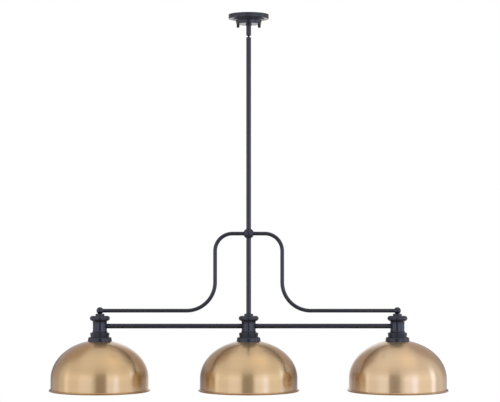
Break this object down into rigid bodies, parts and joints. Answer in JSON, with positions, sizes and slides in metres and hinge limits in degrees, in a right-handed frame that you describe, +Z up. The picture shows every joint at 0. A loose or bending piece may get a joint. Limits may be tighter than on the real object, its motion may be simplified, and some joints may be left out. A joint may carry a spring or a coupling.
{
  "type": "billiard light",
  "caption": "Island or billiard-table pendant light: dome shades on turned columns along a bar, braced by S-bent arms and hung from a swivel canopy on a rod.",
  "frame": {"origin": "where the canopy's axis meets the ceiling, at the middle of the crossbar's top face", "axes": "+Z up to the ceiling, +X along the bar of shades, +Y away from the viewer of the picture"},
  "size_m": [1.3056, 0.3316, 1.2362],
  "materials": {
    "black_coat": "satin",
    "brushed_brass": "brushed",
    "zinc_steel": "zinc plated",
    "porcelain": "glazed",
    "contact_brass": "bright",
    "green_screw": "dyed"
  },
  "bodies": {
    "ceiling_mount": {"crossbar": "zinc_steel", "ground_screw": "green_screw", "canopy_studs": "zinc_steel", "stud_nuts": "zinc_steel", "canopy": "black_coat", "swivel_housing": "black_coat", "swivel_nipple": "zinc_steel", "swivel_washer": "zinc_steel", "swivel_nut": "zinc_steel"},
    "left_washer": {"canopy_washer_left": "black_coat"},
    "left_thumb_nut": {"canopy_nut_left": "black_coat"},
    "right_washer": {"canopy_washer_right": "black_coat"},
    "right_thumb_nut": {"canopy_nut_right": "black_coat"},
    "stop_pins": {"swivel_stop_pins": "zinc_steel"},
    "light": {"bar_nipples": "zinc_steel", "bar_nuts": "zinc_steel", "brace_arm_left": "black_coat", "brace_arm_right": "black_coat", "centre_contact_centre": "contact_brass", "centre_contact_left": "contact_brass", "centre_contact_right": "contact_brass", "centre_stem": "black_coat", "column_base_centre": "black_coat", "column_base_left": "black_coat", "column_base_right": "black_coat", "column_body_centre": "black_coat", "column_body_left": "black_coat", "column_body_right": "black_coat", "column_cap_centre": "black_coat", "column_cap_left": "black_coat", "column_cap_right": "black_coat", "column_nipple_centre": "zinc_steel", "column_nipple_left": "zinc_steel", "column_nipple_right": "zinc_steel", "column_nuts": "zinc_steel", "cross_bar_left": "black_coat", "cross_bar_right": "black_coat", "end_ball_left": "black_coat", "end_ball_right": "black_coat", "hub_ball": "black_coat", "hub_nipple": "zinc_steel", "lampholder_centre": "porcelain", "lampholder_left": "porcelain", "lampholder_right": "porcelain", "lower_rod": "black_coat", "rod_coupler": "zinc_steel", "screw_shell_centre": "contact_brass", "screw_shell_left": "contact_brass", "screw_shell_right": "contact_brass", "shade_centre": "brushed_brass", "shade_left": "brushed_brass", "shade_right": "brushed_brass", "shade_ring_centre": "black_coat", "shade_ring_left": "black_coat", "shade_ring_right": "black_coat", "swivel_ball": "black_coat", "swivel_collar": "black_coat", "upper_rod": "black_coat"}
  },
  "joints": [
    {"name": "swing_side", "type": "hinge", "parent": "ceiling_mount", "child": "stop_pins", "pos_m": [0, 0, -0.0656], "axis": [0, 1, 0], "range_deg": [-20, 20]},
    {"name": "swing_front", "type": "hinge", "parent": "stop_pins", "child": "light", "pos_m": [0, 0, -0.0656], "axis": [1, 0, 0], "range_deg": [-20, 20]},
    {"name": "left_nut_travel", "type": "slide", "parent": "ceiling_mount", "child": "left_washer", "axis": [0, 0, -1], "range_m": [0, 0.00635]},
    {"name": "left_nut_turn", "type": "hinge", "parent": "left_washer", "child": "left_thumb_nut", "pos_m": [-0.03492, 0, -0.0314], "axis": [0, 0, -1], "range_deg": [0, 2880]},
    {"name": "right_nut_travel", "type": "slide", "parent": "ceiling_mount", "child": "right_washer", "axis": [0, 0, -1], "range_m": [0, 0.00635]},
    {"name": "right_nut_turn", "type": "hinge", "parent": "right_washer", "child": "right_thumb_nut", "pos_m": [0.03492, 0, -0.0314], "axis": [0, 0, -1], "range_deg": [0, 2880]}
  ],
  "couplings": [
    {"joint": "left_nut_turn", "follows": "left_nut_travel", "rad_per_m": 7915.8},
    {"joint": "right_nut_turn", "follows": "right_nut_travel", "rad_per_m": 7915.8}
  ]
}
